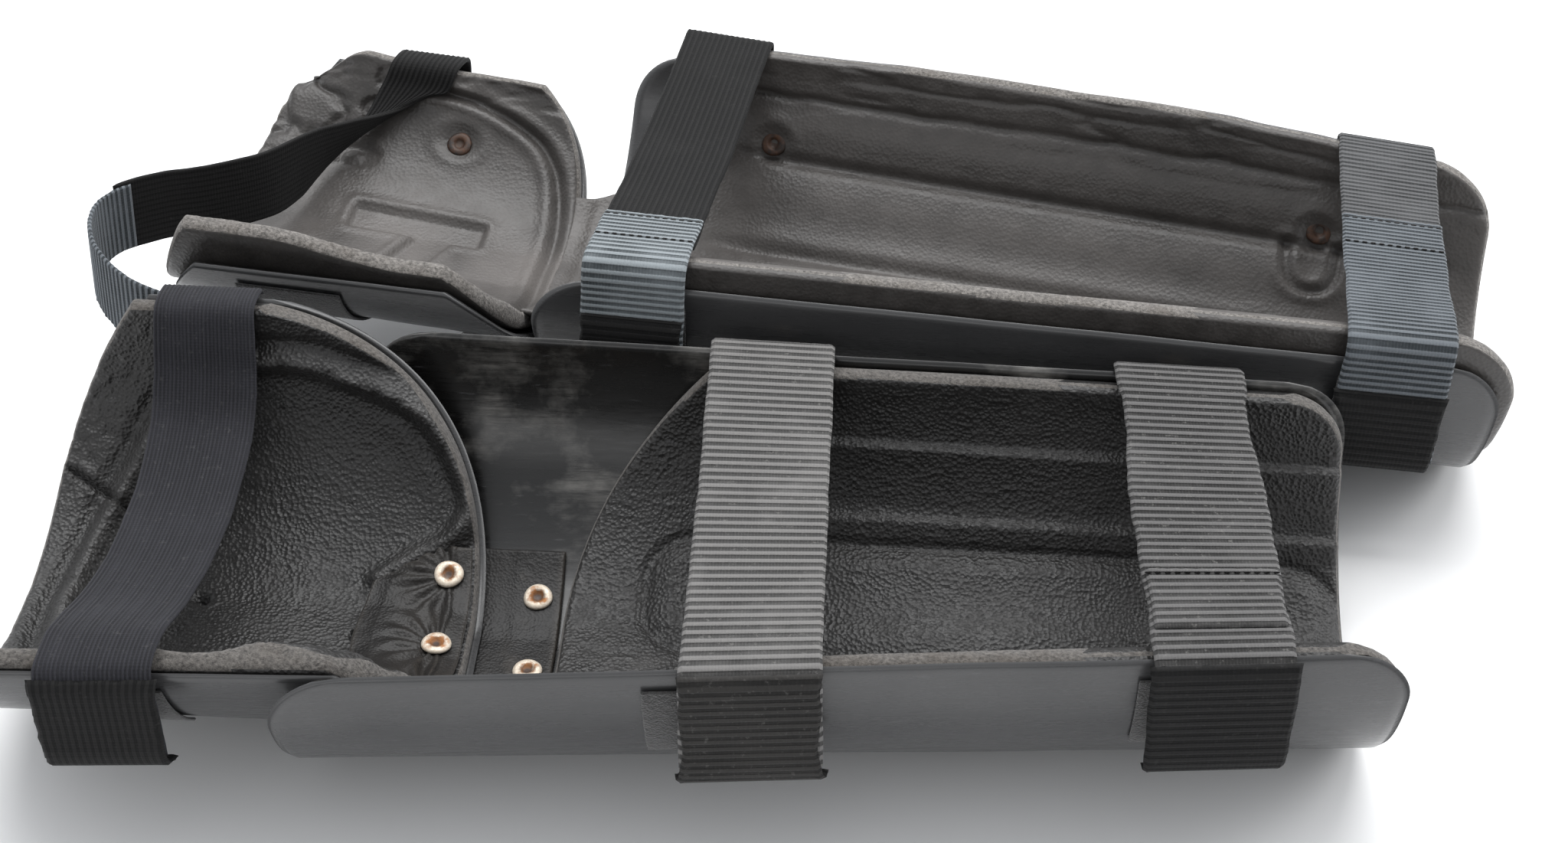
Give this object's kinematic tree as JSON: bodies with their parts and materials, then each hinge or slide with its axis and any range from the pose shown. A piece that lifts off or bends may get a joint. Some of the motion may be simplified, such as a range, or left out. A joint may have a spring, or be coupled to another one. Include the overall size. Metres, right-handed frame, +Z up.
{
  "type": "hockey leg guards",
  "caption": "Pair of shin-and-knee guards: tapered shell troughs with riveted knee cups, foam linings and straps that close across the open backs.",
  "frame": {"origin": "on the floor, under the middle of the pair's bounding box", "axes": "+X from the knees to the ankles along the left guard, +Y from the left guard to the right guard, +Z up, out of the open troughs"},
  "size_m": [0.4814, 0.3457, 0.0965],
  "materials": {
    "shell_plastic": "dark grey polyethylene, fine scuffs",
    "left_lining": "black closed-cell foam with a leathery moulded skin",
    "right_lining": "brown-grey closed-cell foam with a smooth moulded skin",
    "hinge_leather": "black worn leather",
    "strap_elastic": "ribbed woven elastic",
    "strap_webbing": "coarse ribbed nylon webbing",
    "hook_and_loop": "fuzzy hook-and-loop tape",
    "rivet_brass": "tarnished washer rivet with rust"
  },
  "bodies": {
    "left_shin": {"left_shin_shell": "shell_plastic", "left_shin_liner": "left_lining", "left_hinge_strip_shin": "hinge_leather", "left_shin_rivet_1": "rivet_brass", "left_shin_rivet_2": "rivet_brass", "left_shin_rivet_3": "rivet_brass", "left_calf_strap_anchor": "strap_elastic", "left_calf_strap_anchor_rivet": "rivet_brass", "left_calf_strap_patch": "hook_and_loop", "left_ankle_strap_anchor": "strap_elastic", "left_ankle_strap_anchor_rivet": "rivet_brass", "left_ankle_strap_patch": "hook_and_loop"},
    "left_knee": {"left_knee_shell": "shell_plastic", "left_knee_liner": "left_lining", "left_hinge_strip_knee": "hinge_leather", "left_knee_tab": "hinge_leather", "left_knee_rivet_1": "rivet_brass", "left_knee_rivet_2": "rivet_brass", "left_knee_rivet_3": "rivet_brass", "left_knee_strap_anchor": "strap_elastic", "left_knee_strap_anchor_rivet": "rivet_brass", "left_knee_strap_patch": "hook_and_loop"},
    "left_calf_strap": {"left_calf_strap": "strap_webbing", "left_calf_strap_hook": "hook_and_loop"},
    "left_ankle_strap": {"left_ankle_strap": "strap_webbing", "left_ankle_strap_hook": "hook_and_loop"},
    "left_knee_strap": {"left_knee_strap": "strap_elastic", "left_knee_strap_hook": "hook_and_loop"},
    "right_shin": {"right_shin_shell": "shell_plastic", "right_shin_liner": "right_lining", "right_hinge_strip_shin": "hinge_leather", "right_shin_rivet_1": "rivet_brass", "right_shin_rivet_2": "rivet_brass", "right_shin_rivet_3": "rivet_brass", "right_calf_strap_anchor": "strap_elastic", "right_calf_strap_anchor_rivet": "rivet_brass", "right_calf_strap_patch": "hook_and_loop", "right_ankle_strap_anchor": "strap_elastic", "right_ankle_strap_anchor_rivet": "rivet_brass", "right_ankle_strap_patch": "hook_and_loop", "right_liner_rivet_1": "rivet_brass", "right_liner_rivet_2": "rivet_brass"},
    "right_knee": {"right_knee_shell": "shell_plastic", "right_knee_liner": "right_lining", "right_hinge_strip_knee": "hinge_leather", "right_liner_rivet_3": "rivet_brass", "right_knee_strap_anchor": "strap_elastic", "right_knee_strap_anchor_rivet": "rivet_brass", "right_knee_strap_patch": "hook_and_loop"},
    "right_calf_strap": {"right_calf_strap": "strap_elastic", "right_calf_strap_hook": "hook_and_loop"},
    "right_ankle_strap": {"right_ankle_strap": "strap_elastic", "right_ankle_strap_hook": "hook_and_loop"},
    "right_knee_strap": {"right_knee_strap": "strap_elastic", "right_knee_strap_hook": "hook_and_loop"}
  },
  "joints": [
    {"name": "right_guard_lift", "type": "slide", "parent": "left_shin", "child": "right_shin", "axis": [0, 0, 1], "range_m": [0, 0.25]},
    {"name": "left_knee_hinge", "type": "hinge", "parent": "left_shin", "child": "left_knee", "pos_m": [-0.0907, -0.0906, 0.0032], "axis": [0, 1, 0], "range_deg": [0, 32]},
    {"name": "left_calf_strap_open", "type": "hinge", "parent": "left_shin", "child": "left_calf_strap", "pos_m": [-0.0067, -0.01456, 0.0713], "axis": [-0.9977, 0.0682, 0], "range_deg": [0, 110]},
    {"name": "left_ankle_strap_open", "type": "hinge", "parent": "left_shin", "child": "left_ankle_strap", "pos_m": [0.1183, -0.02311, 0.0713], "axis": [-0.9977, 0.0682, 0], "range_deg": [0, 110]},
    {"name": "left_knee_strap_open", "type": "hinge", "parent": "left_knee", "child": "left_knee_strap", "pos_m": [-0.1817, -0.01139, 0.0858], "axis": [-0.9991, 0.0428, 0], "range_deg": [0, 110]},
    {"name": "right_knee_hinge", "type": "hinge", "parent": "right_shin", "child": "right_knee", "pos_m": [-0.08343, 0.08107, 0.02143], "axis": [0.1277, 0.9912, -0.0349], "range_deg": [0, 34]},
    {"name": "right_calf_strap_open", "type": "hinge", "parent": "right_shin", "child": "right_calf_strap", "pos_m": [-0.0296, 0.15943, 0.07882], "axis": [-0.979, 0.1968, 0.0525], "range_deg": [0, 100]},
    {"name": "right_ankle_strap_open", "type": "hinge", "parent": "right_shin", "child": "right_ankle_strap", "pos_m": [0.20298, 0.11269, 0.06636], "axis": [-0.979, 0.1968, 0.0525], "range_deg": [0, 110]},
    {"name": "right_knee_strap_open", "type": "hinge", "parent": "right_knee", "child": "right_knee_strap", "pos_m": [-0.14026, 0.16782, 0.06704], "axis": [-0.9901, 0.1294, 0.055], "range_deg": [0, 80]}
  ]
}
